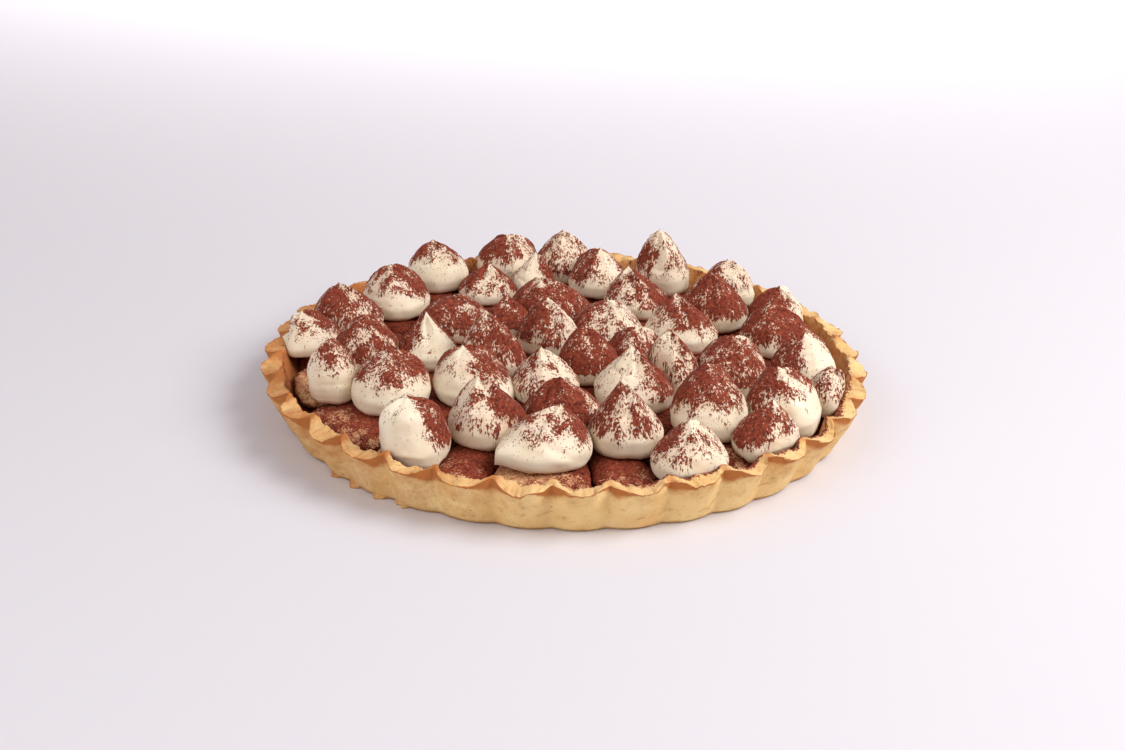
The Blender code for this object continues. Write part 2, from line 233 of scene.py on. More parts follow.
def makeReliefTree():
    # moves a surface along its normals: soft lumps, fine grain, and the thickness of the cocoa
    tree, given = newTree("foodRelief", (
        ("Lump Size", "NodeSocketFloat", 0.008), ("Lump Depth", "NodeSocketFloat", 0.0004),
        ("Grain Size", "NodeSocketFloat", 0.0015), ("Grain Depth", "NodeSocketFloat", 0.0002),
        ("Cocoa Depth", "NodeSocketFloat", 0.0002), ("Material", "NodeSocketMaterial", None)))
    place = addNode(tree, "GeometryNodeInputPosition")
    normal = addNode(tree, "GeometryNodeInputNormal")
    dust = addNode(tree, "GeometryNodeInputNamedAttribute", {"data_type": "FLOAT"}, {"Name": "dust"})
    lift = addNode(tree, "ShaderNodeMath", {"operation": "MULTIPLY"},
                   {0: cocoaMask(tree, place, dust), 1: given["Cocoa Depth"]})
    for name, size, depth in (("lump", "Lump Size", "Lump Depth"), ("grain", "Grain Size", "Grain Depth")):
        weight = addNode(tree, "GeometryNodeInputNamedAttribute", {"data_type": "FLOAT"}, {"Name": name})
        scale = addNode(tree, "ShaderNodeMath", {"operation": "DIVIDE"}, {0: 1.0, 1: given[size]})
        noise = addNode(tree, "ShaderNodeTexNoise", None,
                        {"Vector": place, "Scale": scale, "Detail": 2.0, "Roughness": 0.55})
        wave = addNode(tree, "ShaderNodeMath", {"operation": "MULTIPLY_ADD"}, {0: noise, 1: 4.0, 2: -2.0})
        share = addNode(tree, "ShaderNodeMath", {"operation": "MULTIPLY"}, {0: weight, 1: given[depth]})
        lift = addNode(tree, "ShaderNodeMath", {"operation": "MULTIPLY_ADD"}, {0: wave, 1: share, 2: lift})
    offset = addNode(tree, "ShaderNodeVectorMath", {"operation": "SCALE"}, {0: normal, "Scale": lift})
    moved = addNode(tree, "GeometryNodeSetPosition", None, {"Geometry": given["Geometry"], "Offset": offset})
    real = addNode(tree, "GeometryNodeRealizeInstances", None, {"Geometry": moved})
    done = addNode(tree, "GeometryNodeSetMaterial", None, {"Geometry": real, "Material": given["Material"]})
    addNode(tree, "NodeGroupOutput", None, {0: done})
    return tree


def makeGrainTree():
    # loose grains on a surface, more where it is dusted, each an uneven little block
    tree, given = newTree("looseGrains", (
        ("Density", "NodeSocketFloat", 100000.0),
        ("Least Size", "NodeSocketFloat", 0.0002), ("Greatest Size", "NodeSocketFloat", 0.0005),
        ("Seed", "NodeSocketInt", 3), ("Material", "NodeSocketMaterial", None)))
    share = addNode(tree, "GeometryNodeInputNamedAttribute", {"data_type": "FLOAT"}, {"Name": "scatter"})
    density = addNode(tree, "ShaderNodeMath", {"operation": "MULTIPLY"}, {0: share, 1: given["Density"]})
    points = addNode(tree, "GeometryNodeDistributePointsOnFaces", None,
                     {"Mesh": given["Geometry"], "Density": density, "Seed": given["Seed"]})
    block = addNode(tree, "GeometryNodeMeshUVSphere", None, {"Segments": 4, "Rings": 2, "Radius": 1.0})
    size = addNode(tree, "FunctionNodeRandomValue", {"data_type": "FLOAT"},
                   {2: given["Least Size"], 3: given["Greatest Size"], "Seed": given["Seed"]})
    shape = addNode(tree, "FunctionNodeRandomValue", {"data_type": "FLOAT_VECTOR"},
                    {0: (0.6, 0.6, 0.4), 1: (1.3, 1.3, 0.9), "Seed": 7})
    scale = addNode(tree, "ShaderNodeVectorMath", {"operation": "SCALE"},
                    {0: shape, "Scale": size.outputs[1]})
    turn = addNode(tree, "FunctionNodeRandomValue", {"data_type": "FLOAT_VECTOR"},
                   {0: (0.0, 0.0, 0.0), 1: (0.7, 0.7, 6.28), "Seed": 11})
    placed = addNode(tree, "GeometryNodeInstanceOnPoints", None,
                     {"Points": points, "Instance": block, "Rotation": turn, "Scale": scale})
    real = addNode(tree, "GeometryNodeRealizeInstances", None, {"Geometry": placed})
    done = addNode(tree, "GeometryNodeSetMaterial", None, {"Geometry": real, "Material": given["Material"]})
    addNode(tree, "NodeGroupOutput", None, {0: done})
    return tree


def newMaterial(name, constants):
    material = bpy.data.materials.new(name)
    material.use_nodes = True
    tree = material.node_tree
    shader = tree.nodes["Principled BSDF"]
    for socket, value in constants.items():
        shader.inputs[socket].default_value = value
    return material, tree, shader, addNode(tree, "ShaderNodeTexCoord").outputs["Object"]


def cocoaColour(tree, place):
    # powder: brick red-brown in light, darker in its own hollows
    noise = addNoise(tree, place, 1.5, 4.0, 0.75)
    share = addNode(tree, "ShaderNodeMapRange", None, {0: noise, 1: 0.36, 2: 0.64})
    return blend(tree, share, linear(cocoaLook["deep"]), linear(cocoaLook["lit"]))


def dustOver(tree, place, shader, base, haze):
    # lays cocoa over a base colour: a thin haze first, then the flecks; returns the flecks' mask
    dust = addNode(tree, "ShaderNodeAttribute", {"attribute_name": "dust"}).outputs["Fac"]
    mask = cocoaMask(tree, place, dust)
    thin = addNode(tree, "ShaderNodeMath", {"operation": "MULTIPLY"}, {0: dust, 1: haze})
    base = blend(tree, thin, base, linear(cocoaLook["haze"]))
    colour = blend(tree, mask, base, cocoaColour(tree, place))
    tree.links.new(colour, shader.inputs["Base Color"])
    return mask


creamColours = {"fresh": "#eee1c9", "hollow": "#e6d6b8"}
# the last crust colour is the brown of its specks and the painted shade in its cracks and splits
pastryColours = {"pale": "#f3d497", "gold": "#e5ba77", "brown": "#b56e35",
                 "torn": "#dcb07a", "speckAndCrackShade": "#9a6230"}
spongeColours = {"crumb": "#dbad7c", "crust": "#935533"}


def makeCream():
    # whipped mascarpone cream, piped: light scatters in fat and water, so shade is soft and the skin satin
    material, tree, shader, place = newMaterial("pipedMascarponeCream", {
        "IOR": 1.45, "Subsurface Weight": 0.25, "Subsurface Scale": 3.0 * mm,
        "Subsurface Radius": (1.0, 0.75, 0.5), "Specular IOR Level": 0.35})
    noise = addNoise(tree, place, 9.0)
    share = addNode(tree, "ShaderNodeMapRange", None, {0: noise, 1: 0.3, 2: 0.7})
    cream = blend(tree, share, linear(creamColours["hollow"]), linear(creamColours["fresh"]))
    mask = dustOver(tree, place, shader, cream, 0.42)
    rough = addNode(tree, "ShaderNodeMath", {"operation": "MULTIPLY_ADD"}, {0: mask, 1: 0.45, 2: 0.5})
    tree.links.new(rough.outputs[0], shader.inputs["Roughness"])
    return material


def makeCocoa():
    # sieved cocoa powder: loose grains scatter all light, so it is dull with no highlight
    material, tree, shader, place = newMaterial("sievedCocoaPowder", {
        "IOR": 1.5, "Roughness": 0.95, "Specular IOR Level": 0.15})
    tree.links.new(cocoaColour(tree, place), shader.inputs["Base Color"])
    return material


def makeSponge():
    # baked sponge finger: dry sugared crumb, so it is matt and mottled, with cocoa caught in its pores
    material, tree, shader, place = newMaterial("bakedSpongeFinger", {
        "IOR": 1.45, "Roughness": 0.85, "Specular IOR Level": 0.25})
    noise = addNoise(tree, place, 2.4, 4.0, 0.75)
    share = addNode(tree, "ShaderNodeMapRange", None, {0: noise, 1: 0.4, 2: 0.6})
    crumb = blend(tree, share, linear(spongeColours["crust"]), linear(spongeColours["crumb"]))
    dustOver(tree, place, shader, crumb, 0.45)
    return material


def makePastry():
    # oven-baked shortcrust: dry and matt, pale gold, browned at its creases and pale where it is torn, and
    # browner on its left side as painted shade
    material, tree, shader, place = newMaterial("bakedShortcrust", {
        "IOR": 1.48, "Roughness": 0.72, "Specular IOR Level": 0.3,
        "Subsurface Weight": 0.08, "Subsurface Scale": 2.0 * mm, "Subsurface Radius": (1.0, 0.6, 0.3)})
    noises = {}
    for name, length, detail, roughness in (("patch", 14.0, 3.0, 0.5), ("blotch", 5.0, 3.0, 0.55),
                                            ("crumb", 1.1, 3.0, 0.7), ("grit", 0.6, 2.0, 0.6)):
        noises[name] = addNoise(tree, place, length, detail, roughness)
    weights = {}
    for name in ("browningAndShade", "torn", "speckAndCrackShade"):
        weights[name] = addNode(tree, "ShaderNodeAttribute", {"attribute_name": name}).outputs["Fac"]
    share = addNode(tree, "ShaderNodeMapRange", None, {0: noises["patch"], 1: 0.3, 2: 0.7})
    base = blend(tree, share, linear(pastryColours["gold"]), linear(pastryColours["pale"]))
    fine = addNode(tree, "ShaderNodeMath", {"operation": "MULTIPLY_ADD"},
                   {0: noises["crumb"], 1: 0.7, 2: -0.88})
    mottle = addNode(tree, "ShaderNodeMath", {"operation": "MULTIPLY_ADD"},
                     {0: noises["blotch"], 1: 1.0, 2: fine})
    # the crust's browning, the painted shade of its left side and a random mottle, as one share of brown
    bakedAndShaded = addNode(tree, "ShaderNodeMath", {"operation": "ADD", "use_clamp": True},
                   {0: weights["browningAndShade"], 1: mottle})
    base = blend(tree, bakedAndShaded, base, linear(pastryColours["brown"]))
    base = blend(tree, weights["torn"], base, linear(pastryColours["torn"]))
    # dark brown in the round pits, which are the crust's brown specks, and painted shade in the cracks and
    # the rim's splits, deeper ones darker
    base = blend(tree, weights["speckAndCrackShade"], base, linear(pastryColours["speckAndCrackShade"]))
    dustOver(tree, place, shader, base, 0.2)
    bump = addNode(tree, "ShaderNodeBump", None,
                   {"Strength": 0.8, "Distance": 0.3 * mm, "Height": noises["grit"]})
    tree.links.new(bump.outputs[0], shader.inputs["Normal"])
    return material


creamMaterial, cocoaMaterial = makeCream(), makeCocoa()
spongeMaterial, pastryMaterial = makeSponge(), makePastry()
foodRelief, looseGrains = makeReliefTree(), makeGrainTree()
print("materials and trees ready")


creamPiping = {
    "columns": 144, "castColumns": 72,
    "rest": 18.3,             # mm, height that the cream rests on
    "sagStart": 116.5, "sagSlope": 0.27,      # beyond this distance it sags towards the shell
    "mostSag": 12.0,          # mm past that distance after which it sags no more
    "level": (15,),           # dollops firm enough not to sag
    "footBand": 1.5,          # mm above the rest, within which the solid's corners are its foot's
    "centreUp": 0.36,         # share of the height at which its middle lies
    "centreLean": 0.2,        # share of the tip's lean that its middle follows
    "castBands": ((1.2, 16.0, 13), (18.2, 122.0, 47), (128.0, 172.0, 6)),  # degrees from the tip, and rows
    "bluntFrom": 44.0, "bluntSpread": 24.0,   # degrees down from the tip where a blunt dollop bulges most
    "lumpSize": 0.009, "lumpDepth": 0.00024,
    "grainSize": 0.0022, "grainDepth": 0.00006,
    "cocoaDepth": 0.0002,
    "press": 0.7,             # mm that neighbours press into each other
    "ridge": 1.6,             # mm that the main ridge stands out
    "tipHeight": 1.1,         # mm that the tip is drawn up
    "cornerEase": 16.0,       # degrees over which a dragged corner begins
    "leastDust": 0.11, "mostDust": 0.82,
    "folds": 4,
}

# how each dollop was dusted: cocoa on its top, height where it starts, side that caught more and how much,
# side that stayed clean and how much, how bare the tip is, and the azimuth of its ridge
dusting = {
    1: (0.92, 0.58, 150, 0.3, -80, 0.45, 0.19, -30), 2: (0.85, 0.46, 160, 0.2, -40, 0.25, 0.19, 20),
    3: (0.50, 0.10, 200, 0.2, 0, 0.0, 0.11, -20), 4: (0.50, 0.20, 190, 0.2, -60, 0.1, 0.11, -80),
    5: (0.46, 0.35, 170, 0.2, 0, 0.1, 0.05, -50), 6: (0.62, 0.20, 200, 0.5, 10, 0.45, 0.10, 40),
    7: (1.05, 0.36, 180, 0.1, 0, 0.0, 0.00, -10), 8: (0.62, 0.42, 180, 0.6, -40, 0.50, 0.11, 60),
    9: (0.52, 0.20, 0, 0.2, -60, 0.1, 0.05, -20), 10: (0.80, 0.52, 170, 0.5, -50, 0.35, 0.11, 15),
    11: (0.50, 0.20, 190, 0.7, 0, 0.0, 0.30, 60), 12: (0.42, 0.32, 165, 0.5, 0, 0.0, 0.19, 40),
    13: (0.50, 0.25, 20, 0.6, -125, 0.95, 0.40, 100), 14: (0.62, 0.55, 90, 0.2, 0, 0.0, 0.00, 80),
    15: (0.55, 0.35, 40, 0.3, -120, 0.2, 0.05, 60), 16: (0.90, 0.05, 150, 0.1, -30, 0.25, 0.05, -20),
    17: (0.68, 0.48, 30, 0.6, -90, 0.1, 0.00, 30), 18: (0.82, 0.28, 150, 0.3, -50, 0.5, 0.10, 150),
    19: (0.38, 0.20, 0, 0.6, -100, 0.3, 0.45, -20), 20: (0.78, 0.12, 180, 0.2, -90, 0.4, 0.11, 200),
    21: (0.60, 0.18, 10, 0.6, -90, 0.1, 0.40, -70), 22: (0.90, 0.26, 0, 0.1, 0, 0.0, 0.05, -60),
    23: (0.76, 0.42, 0, 0.4, -70, 0.2, 0.11, -45), 24: (0.76, 0.12, 180, 0.25, 20, 0.2, 0.11, 20),
    25: (0.82, 0.48, 160, 0.35, -40, 0.1, 0.05, 30), 26: (0.58, 0.25, 180, 0.35, -20, 0.1, 0.26, -40),
    27: (0.60, 0.46, 20, 0.3, -120, 0.1, 0.11, 200), 28: (0.92, 0.10, -110, 0.2, 0, 0.25, 0.10, 170),
    29: (0.58, 0.15, 30, 0.6, -130, 0.15, 0.11, -25), 30: (0.66, 0.50, 60, 0.3, 0, 0.0, 0.00, 30),
    31: (0.70, 0.05, 120, 0.2, 0, 0.0, 0.00, 50), 32: (0.80, 0.00, 0, 0.1, 0, 0.0, 0.30, -15),
    33: (0.80, 0.00, 180, 0.1, 0, 0.0, 0.11, 80), 34: (0.82, 0.05, 180, 0.1, -60, 0.1, 0.10, -30),
    35: (0.75, 0.05, 170, 0.5, -60, 0.75, 0.26, -60), 36: (0.92, 0.45, 60, 0.4, -120, 0.6, 0.30, 25),
    37: (0.46, 0.00, 200, 0.1, -30, 0.1, 0.11, 0), 38: (0.38, 0.05, -10, 0.4, -110, 0.15, 0.19, -35),
    39: (0.50, 0.10, 20, 0.6, -110, 0.1, 0.11, -50), 40: (0.74, 0.10, 180, 0.2, 0, 0.1, 0.19, 20),
    41: (0.46, 0.00, 170, 0.4, 0, 0.1, 0.11, -60), 42: (0.72, 0.05, 30, 0.4, -120, 0.15, 0.10, -40),
    43: (0.70, 0.00, 170, 0.4, 0, 0.35, 0.10, -40), 44: (0.92, 0.12, 180, 0.2, 0, 0.0, 0.10, -30),
}

# feet that were dragged out to a corner: azimuth, mm, how wide and how far down from the tip, degrees
footCorners = {5: (100, 1.5, 13, 100), 15: (-178, 5.0, 26, 62), 27: (-150, 3.0, 12, 100),
               28: (-5, 2.0, 13, 100), 36: (-10, 1.5, 13, 100)}

# mm that blunt dollops bulge out below the tip
bluntTops = {13: 3.0, 5: 1.0, 36: 1.0}


def castDollop(number):
    # the solid's reach in mm from a centre, over angles down from the tip's axis and round it
    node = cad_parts["dollop_%02d" % number]
    search = castTree(node)
    corners, _ = vertexArrays(node.data)
    tip = Vector(corners[corners[:, 2].argmax()].tolist())
    low = creamPiping["rest"] * mm
    foot = corners[corners[:, 2] < low + creamPiping["footBand"] * mm].mean(axis=0)
    height = tip.z - low
    centre = Vector((foot[0], foot[1], low + creamPiping["centreUp"] * height))
    centre.x += creamPiping["centreLean"] * (tip.x - centre.x)
    centre.y += creamPiping["centreLean"] * (tip.y - centre.y)
    axis = (tip - centre).normalized()
    side = (Vector((1, 0, 0)) - axis * axis.x).normalized()
    other = axis.cross(side)
    polar = np.concatenate([np.linspace(*band) for band in creamPiping["castBands"]])
    turns = np.arange(creamPiping["castColumns"]) * 360.0 / creamPiping["castColumns"]
    reach = np.zeros((len(polar), len(turns)))
    for i, angle in enumerate(np.radians(polar)):
        for k, turn in enumerate(np.radians(turns)):
            out = side * math.cos(turn) + other * math.sin(turn)
            hit = search.ray_cast(centre, axis * math.cos(angle) + out * math.sin(angle))
            reach[i, k] = hit[3] if hit[0] else reach[i, k - 1]
    reach = blurRound(reach, 1.5)
    smooth = 1.0 + 4.2 * easeStep(10.0, 40.0, polar) - 3.0 * easeStep(75.0, 100.0, polar)
    reach = refineRound(blurRows(reach, polar, smooth), creamPiping["columns"]) / mm
    return reach, polar, (centre, axis, side, other), tip, low, foot


def pipeRidges(reach, polar, turns, ridgeAt, corner, swell):
    # ridges run down from the tip between flatter faces, folds run round, and the foot is uneven
    down = polar[:, None]
    twist = chance.uniform(-0.35, 0.35)
    body = easeStep(2.0, 13.0, down) * (1.0 - easeStep(50.0, 95.0, down))
    ridges = ((0.0, 1.0, 11.0), (chance.uniform(95, 140), 0.6, 13.0), (-chance.uniform(80, 125), 0.45, 15.0))
    for turn, size, width in ridges:
        away = turnBetween(turns[None, :], ridgeAt + turn + twist * down)
        reach += creamPiping["ridge"] * size * body * np.exp(-away / width)
        reach -= 0.4 * creamPiping["ridge"] * size * body * bell(away - 2.6 * width, width)
    for _ in range(creamPiping["folds"]):
        foldAt, foldTurn = chance.uniform(30.0, 100.0), chance.uniform(0.0, 360.0)
        slant = chance.uniform(4.0, 12.0) * np.sin(np.radians(turns - foldTurn - 40.0))[None, :]
        dip = chance.uniform(0.1, 0.32) * facing(turns, foldTurn)[None, :] ** 1.5
        below = down - foldAt - slant
        reach -= dip * (bell(below, 4.5) - 0.6 * bell(below - 9.0, 6.0))
    reach += creamPiping["tipHeight"] * np.exp(-(down / 4.5) ** 1.1)
    outline = np.zeros(len(turns))
    for waves, size in ((2, 1.0), (3, 0.6), (5, 0.6), (8, 0.35)):
        outline += size * np.cos(np.radians(turns) * waves + chance.uniform(0, 6))
    reach += 0.28 * outline[None, :] * easeStep(60.0, 110.0, down)
    reach += creamPiping["press"] * easeStep(40.0, 85.0, down) * (1.0 - 0.3 * easeStep(115.0, 125.0, down))
    reach += swell * bell(down - creamPiping["bluntFrom"], creamPiping["bluntSpread"])
    if corner:
        cornerAt, length, width, begins = corner
        away = turnBetween(turns[None, :], cornerAt)
        reach += length * np.exp(-away / width) * easeStep(begins, begins + creamPiping["cornerEase"], down)
    return reach


def makeDollop(number):
    # piped cream: the solid's form with round edges, a drawn tip, ridges and soft folds
    reach, polar, (centre, axis, side, other), tip, low, foot = castDollop(number)
    height = tip.z - low
    turns = np.arange(creamPiping["columns"]) * 360.0 / creamPiping["columns"]
    cover, start, heavyAt, heavy, cleanAt, clean, bareTip, ridgeAt = dusting[number]
    reach = pipeRidges(reach, polar, turns, ridgeAt, footCorners.get(number), bluntTops.get(number, 0.0))

    polarTurn, roundTurn = np.radians(polar)[:, None, None], np.radians(turns)[None, :, None]
    out = np.array(side) * np.cos(roundTurn) + np.array(other) * np.sin(roundTurn)
    rays = np.array(axis) * np.cos(polarTurn) + out * np.sin(polarTurn)
    rings = np.array(centre) + rays * reach[:, :, None] * mm
    beyond = np.hypot(rings[:, :, 0], rings[:, :, 1]) / mm - creamPiping["sagStart"]
    beyond = np.clip(beyond, 0.0, creamPiping["mostSag"])
    beyond *= number not in creamPiping["level"]
    rings[:, :, 2] = np.maximum(rings[:, :, 2], low - creamPiping["sagSlope"] * beyond * mm)
    peak = np.array(tip) + np.array(axis) * creamPiping["tipHeight"] * mm
    piece = ringPiece("cream_%02d" % number, peak, rings, (centre.x, centre.y, low), upward=False)

    points, normals = vertexArrays(piece.data)
    level = (points[:, 2] - low) / height
    lean = np.clip(level, 0.0, 1.0)[:, None] * (np.array(tip)[:2] - foot[:2])
    azimuth = np.degrees(np.arctan2(points[:, 1] - foot[1] - lean[:, 1], points[:, 0] - foot[0] - lean[:, 0]))
    dust = cover * easeStep(start - 0.25, start + 0.28, level)
    dust += heavy * facing(azimuth, heavyAt) ** 1.2 * easeStep(0.3 * start - 0.05, 0.3 * start + 0.3, level)
    dust -= clean * facing(azimuth, cleanAt) ** 1.3
    dust -= bareTip * easeStep(0.86, 0.99, level)
    dust = np.clip(dust, creamPiping["leastDust"], creamPiping["mostDust"])
    dust *= easeStep(-0.35, 0.3, normals[:, 2])
    plain = np.ones(len(dust))
    setWeights(piece, dust=dust, lump=plain, grain=plain,
               scatter=(0.10 + 0.55 * dust) * easeStep(0.0, 0.5, normals[:, 2]))
    return roughen(piece, creamPiping, creamMaterial)


dollops = []
for number in sorted(dusting):
    dollop = makeDollop(number)
    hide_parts("dollop_%02d" % number)
    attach(dollop, "root")
    dollops.append(dollop)
print("piped", len(dollops), "dollops")


spongeFinger = {
    "smoothing": 4,
    "lumpSize": 0.006, "lumpDepth": 0.0005,
    "grainSize": 0.0013, "grainDepth": 0.0003,
    "cocoaDepth": 0.0002,
    "leastDust": 0.5, "mostDust": 0.72,
    "inner": (103.0, 114.0),      # mm from the middle of the tart, between which the cocoa thickens inwards
    "pale": {1: 0.28, 2: 0.6, 5: 0.34},      # fingers that caught less cocoa, and how much
}


def makeFinger(number):
    # the solid's form, rounded, with the crazed crumb of baked sponge
    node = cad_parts["finger_%02d" % number]
    mesh = node.data.copy()
    piece = bpy.data.objects.new("sponge_%02d" % number, mesh)
    mesh.name = piece.name
    bpy.context.scene.collection.objects.link(piece)
    weld = piece.modifiers.new("weld", "WELD")
    weld.merge_threshold = 0.01 * mm
    rounding = piece.modifiers.new("rounding", "SUBSURF")
    rounding.levels = rounding.render_levels = spongeFinger["smoothing"]
    bakeModifiers(piece)
    mesh = piece.data
    for name in [a.name for a in mesh.attributes if a.name.startswith("custom")]:
        mesh.attributes.remove(mesh.attributes[name])
    mesh.shade_smooth()
    points, normals = vertexArrays(mesh)
    distance = np.hypot(points[:, 0], points[:, 1]) / mm
    across = np.degrees(np.arctan2(points[:, 1], points[:, 0]))
    middle = np.degrees(np.arctan2(points[:, 1].mean(), points[:, 0].mean()))
    lit = turnFrom(across, middle)
    dust = chance.uniform(spongeFinger["leastDust"], spongeFinger["mostDust"])
    dust = spongeFinger["pale"].get(number, dust)
    inwards = 1.0 - easeStep(*spongeFinger["inner"], distance)
    dust = dust + 0.5 * inwards - 0.04 * chance.uniform(-1.0, 1.0) * lit
    dust = dust + 0.5 * (1.0 - easeStep(0.1, 0.75, normals[:, 2]))
    plain = np.ones(len(dust))
    setWeights(piece, dust=np.clip(dust, 0.0, 1.0), lump=plain, grain=plain,
               scatter=0.4 * easeStep(0.2, 0.6, normals[:, 2]))
    return roughen(piece, spongeFinger, spongeMaterial)


fingers = []
for nodeName in sorted(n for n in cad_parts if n.startswith("finger_")):
    finger = makeFinger(int(nodeName[-2:]))
    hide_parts(nodeName)
    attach(finger, "root")
    fingers.append(finger)
print("laid", len(fingers), "sponge fingers")


cocoaBed = {
    "columns": 480, "rows": 100,
    "edge": 123.6, "under": 4.3,          # mm, radius and height of its lower edge
    "missed": 7.5,                # mm, height taken where no ray meets the solid
    "topFrom": 14.5,              # mm, above this it is seen between the dollops
    "cover": 0.62, "coverInside": 0.5,    # cocoa near the rim, and how much more of it further in
    "inside": (100.0, 116.0),     # mm from the middle, between which it thickens inwards
    "lumpSize": 0.012, "lumpDepth": 0.0004,
    "grainSize": 0.0018, "grainDepth": 0.00016,
    "cocoaDepth": 0.00015,
}


def makeBed():
    # the filling and the fingers that are one with it, seen from above as one dusted surface
    search = castTree(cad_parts["filling"])
    radii = np.linspace(2.0, cocoaBed["edge"], cocoaBed["rows"])
    turns = np.radians(np.arange(cocoaBed["columns"]) * 360.0 / cocoaBed["columns"])
    heights = np.zeros((len(radii), len(turns)))
    down = Vector((0, 0, -1))
    for i, radius in enumerate(radii * mm):
        for k, turn in enumerate(turns):
            hit = search.ray_cast(Vector((radius * math.cos(turn), radius * math.sin(turn), 0.1)), down)
            heights[i, k] = hit[0].z / mm if hit[0] else cocoaBed["missed"]
    heights = blurRows(blurRound(heights, 1.0), radii, np.full(len(radii), 1.2))
    radii = np.append(radii, (cocoaBed["edge"] - 0.5, cocoaBed["edge"] - 2.5))
    heights = np.vstack((heights, np.full((2, len(turns)), cocoaBed["under"])))
    rings = np.stack((radii[:, None] * np.cos(turns), radii[:, None] * np.sin(turns), heights), axis=-1) * mm
    centre = (0.0, 0.0, float(heights[0].mean()) * mm)
    piece = ringPiece("cocoaBed", centre, rings, (0.0, 0.0, cocoaBed["under"] * mm), upward=False)
    points, normals = vertexArrays(piece.data)
    inside = 1.0 - easeStep(*cocoaBed["inside"], np.hypot(points[:, 0], points[:, 1]) / mm)
    top = points[:, 2] > cocoaBed["topFrom"] * mm
    dust = np.where(top, cocoaBed["cover"] + cocoaBed["coverInside"] * inside, 1.0)
    setWeights(piece, dust=np.clip(dust, 0, 1), lump=top * 1.0, grain=top * 1.0,
               scatter=0.5 * easeStep(0.3, 0.7, normals[:, 2]) * top)
    return roughen(piece, cocoaBed, spongeMaterial)


bed = makeBed()
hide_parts("filling")
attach(bed, "root")
print("filled the shell")


shortcrust = {
    "flutes": 35,
    "columns": 1150, "wallRows": 42, "rimRows": 15, "innerRows": 10,
    "wallLevels": (0.7, 9.0, 17.0),       # mm, heights at which the solid's wall is measured
    "innerLevels": (5.0, 13.0),
    "wallFrom": 1.7, "innerTo": 4.6,      # mm, heights at the bottom of the outer and the inner face
    "bulge": 0.3,                 # mm that the solid's wall stands out at the highest of them
    "rimFrom": 17.5,              # mm, corners of the solid above this belong to its rim
    "floor": (121.0, 4.0),        # mm, radius and height where the inner face meets the base
    "underside": 118.0,           # mm, radius of the innermost ring on the flat underside
    "meanRadius": 134.0,          # mm, at which lengths round the shell are measured
    "ragged": 0.34,               # mm that the torn edges wander
    "upright": 0.6,               # share of the solid's flare under the edge that is left out
    "crown": 0.25,                # mm that the rim is rounded up
    "tilt": 0.8,                  # mm that its edge rises and its crest drops for each mm of tip
    "smoothing": 2.6,             # columns
    "deepen": 0.65,               # share by which the flutes are deeper than the smoothed solid's
    "flake": 0.9,                 # mm, thickness of the flakes at the foot
    "cracks": 60, "pits": 110, "notches": 80, "splits": 130,
    "lumpSize": 0.006, "lumpDepth": 0.0002,
    "grainSize": 0.0012, "grainDepth": 0.00018,
    "cocoaDepth": 0.0001,
}


# how far the torn rim of the flute at an azimuth tips inwards, mm; the others take a chance value
rimTips = {-179: 0.3, -169: 0.7, -159: 0.2, -148: 0.6, -138: 0.3, -128: 0.9, -118: 1.1, -107: 0.8, -97: 0.2,
           -87: 1.4, -76: 1.3, -66: 1.2, -56: 1.2, -46: 1.0, -35: 1.1, -25: 0.8}


# sides drawn browner: azimuth, how much, how narrow; on the left side (-175), which faces away from the key
# light, the extra brown is painted shade
shadedAndBrownedSides = ((-175.0, 0.62, 1.1), (110.0, 0.3, 1.0), (5.0, 0.36, 1.5))

mmPerDegree = math.radians(1.0) * shortcrust["meanRadius"]


def castCrust():
    # the solid's wall by level rays, and its rim's outer edge and inner crest from its own corners
    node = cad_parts["crust"]
    search = castTree(node)
    turns = np.arange(shortcrust["columns"]) * 360.0 / shortcrust["columns"]
    walls = []
    # the outer face is met from 200 mm out, the inner face from 50 mm
    for start, way, heights in ((0.2, -1, shortcrust["wallLevels"]), (0.05, 1, shortcrust["innerLevels"])):
        for height in heights:
            reach = []
            for turn in np.radians(turns):
                out = Vector((math.cos(turn), math.sin(turn), 0))
                hit = search.ray_cast(out * start + Vector((0, 0, height * mm)), out * way)
                reach.append(hit[0].length_squared - (height * mm) ** 2)
            walls.append(np.sqrt(reach) / mm)
    corners, _ = vertexArrays(node.data)
    corners = corners[corners[:, 2] > shortcrust["rimFrom"] * mm] / mm
    azimuth = np.degrees(np.arctan2(corners[:, 1], corners[:, 0])) % 360.0
    distance = np.hypot(corners[:, 0], corners[:, 1])
    order = np.argsort(azimuth)
    groups = np.split(order, np.flatnonzero(np.diff(azimuth[order]) > 0.3) + 1)
    curves = []
    for pick in (np.argmax, np.argmin):
        chosen = np.array([group[pick(distance[group])] for group in groups])
        for values in (distance, corners[:, 2]):
            curves.append(np.interp(turns, azimuth[chosen], values[chosen], period=360.0))
    return turns, walls, curves


def findCreases(outer, turns):
    # for each column, mm round the shell from the nearest crease between two flutes, and which one it is
    smooth = blurRound(outer, 4.0)
    marks = np.flatnonzero((smooth < np.roll(smooth, 1)) & (smooth <= np.roll(smooth, -1)))
    along = turnFrom(turns[:, None], turns[marks][None, :])
    which = np.abs(along).argmin(axis=1)
    print("found", len(marks), "creases")
    return along[np.arange(len(turns)), which] * mmPerDegree, which


def roughLine(seed, columns, width):
    # uneven line round the shell, about 1 high, smooth over a number of columns
    line = blurRound(np.random.default_rng(seed).normal(size=columns), width)
    return line / line.std()


